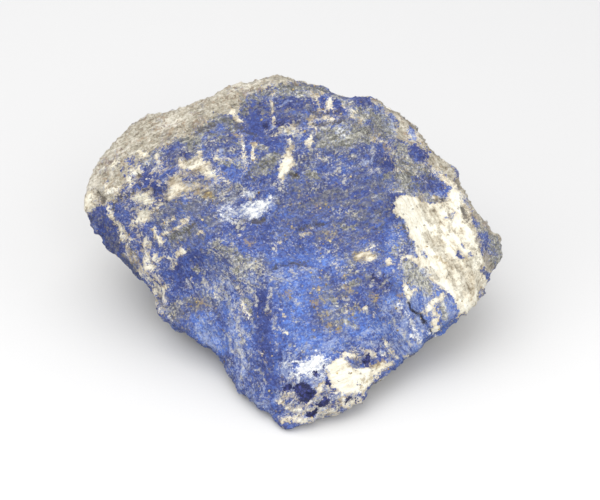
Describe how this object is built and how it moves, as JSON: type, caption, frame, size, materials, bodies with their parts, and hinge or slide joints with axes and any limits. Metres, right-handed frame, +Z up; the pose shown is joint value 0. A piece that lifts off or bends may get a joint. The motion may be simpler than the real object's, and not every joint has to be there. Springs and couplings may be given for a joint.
{
  "type": "raw lapis lazuli",
  "caption": "Rough broken block of blue lapis lazuli with cream calcite bands and a weathered grey rind, wedge-shaped, resting on a flat underside.",
  "frame": {"origin": "on the surface it rests on, under the middle of the block", "axes": "+Z up, -Y towards the toe and the broad broken face, +X towards the pointed tail"},
  "size_m": [0.1954, 0.1718, 0.1004],
  "materials": {
    "lapis": "rough broken stone, matt"
  },
  "bodies": {
    "root": {"lapis_block": "lapis"}
  },
  "joints": []
}
